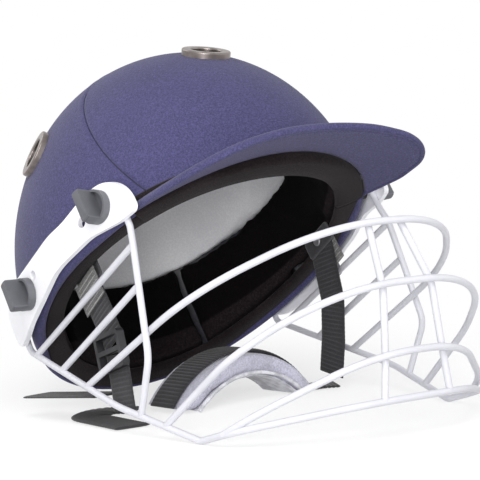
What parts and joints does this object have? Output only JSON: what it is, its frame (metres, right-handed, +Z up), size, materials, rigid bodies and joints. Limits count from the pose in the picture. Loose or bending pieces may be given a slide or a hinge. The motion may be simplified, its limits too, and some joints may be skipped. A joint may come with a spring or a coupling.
{
  "type": "cricket helmet",
  "caption": "Cricket helmet with a cloth-covered peaked shell, an adjustable white wire face guard on wing screws, a padded lining and a chin strap with a soft cup.",
  "frame": {"origin": "Middle of the ground area that the resting helmet covers, at ground level", "axes": "+Z up from the ground; the peak and guard point to -Y; +X is the wearer's left. The helmet rests laid back on its nape and the guard's lower corners, as in the picture."},
  "size_m": [0.2652, 0.361, 0.2356],
  "materials": {
    "navy_cloth": "matt",
    "shell": "matt",
    "felt": "matt",
    "liner": "satin",
    "foam": "matt",
    "white_metal": "gloss",
    "grip": "satin",
    "spacer": "matt",
    "nut": "satin",
    "eyelet": "satin",
    "webbing": "matt",
    "buckle": "satin",
    "cup": "matt",
    "backing": "matt"
  },
  "bodies": {
    "helmet": {"cloth_cover_front": "navy_cloth", "cloth_cover_rear": "navy_cloth", "crown_liner": "liner", "cup_backing": "backing", "cup_pad": "cup", "cup_strap": "webbing", "eyelet_front": "eyelet", "eyelet_left": "eyelet", "eyelet_right": "eyelet", "eyelet_washers": "eyelet", "hard_shell": "shell", "ladder_lock": "buckle", "pad_front": "foam", "pad_rear": "foam", "pad_side_left": "foam", "pad_side_right": "foam", "peak_board": "shell", "peak_cloth_top": "navy_cloth", "peak_cloth_under": "navy_cloth", "peak_piping": "navy_cloth", "plate_spacers": "spacer", "rim_felt": "felt", "rim_roll": "navy_cloth", "shell_nuts": "nut", "strap_anchor_left": "webbing", "strap_anchor_right": "webbing", "strap_end_left": "webbing", "strap_loop": "webbing", "strap_rivet_left": "nut", "strap_rivet_right": "nut", "strap_tail": "webbing", "web_left": "webbing", "web_right": "webbing", "web_tongue": "webbing"},
    "face_guard": {"bottom_bar": "white_metal", "front_upright_left": "white_metal", "front_upright_right": "white_metal", "lower_bar": "white_metal", "lower_brace_left": "white_metal", "lower_brace_right": "white_metal", "middle_bar": "white_metal", "side_plate_left": "white_metal", "side_plate_right": "white_metal", "side_upright_left": "white_metal", "side_upright_right": "white_metal", "top_bar": "white_metal", "upper_brace_left": "white_metal", "upper_brace_right": "white_metal"},
    "wing_screw_front_left": {"wing_screw_front_left": "grip"},
    "wing_screw_front_right": {"wing_screw_front_right": "grip"},
    "wing_screw_rear_left": {"wing_screw_rear_left": "grip"},
    "wing_screw_rear_right": {"wing_screw_rear_right": "grip"}
  },
  "joints": [
    {"name": "guard_tilt", "type": "hinge", "parent": "helmet", "child": "face_guard", "pos_m": [0, -0.01231, 0.13606], "axis": [1, 0, 0], "range_deg": [0, 3]},
    {"name": "wing_screw_front_left_turn", "type": "hinge", "parent": "helmet", "child": "wing_screw_front_left", "pos_m": [0.10535, -0.01231, 0.13606], "axis": [0.967, -0.2086, 0.1461], "continuous": true},
    {"name": "wing_screw_front_right_turn", "type": "hinge", "parent": "helmet", "child": "wing_screw_front_right", "pos_m": [-0.10535, -0.01231, 0.13606], "axis": [-0.967, -0.2086, 0.1461], "continuous": true},
    {"name": "wing_screw_rear_left_turn", "type": "hinge", "parent": "helmet", "child": "wing_screw_rear_left", "pos_m": [0.1172, 0.0597, 0.08199], "axis": [1, 0, 0], "continuous": true},
    {"name": "wing_screw_rear_right_turn", "type": "hinge", "parent": "helmet", "child": "wing_screw_rear_right", "pos_m": [-0.1172, 0.0597, 0.08199], "axis": [-1, 0, 0], "continuous": true}
  ]
}
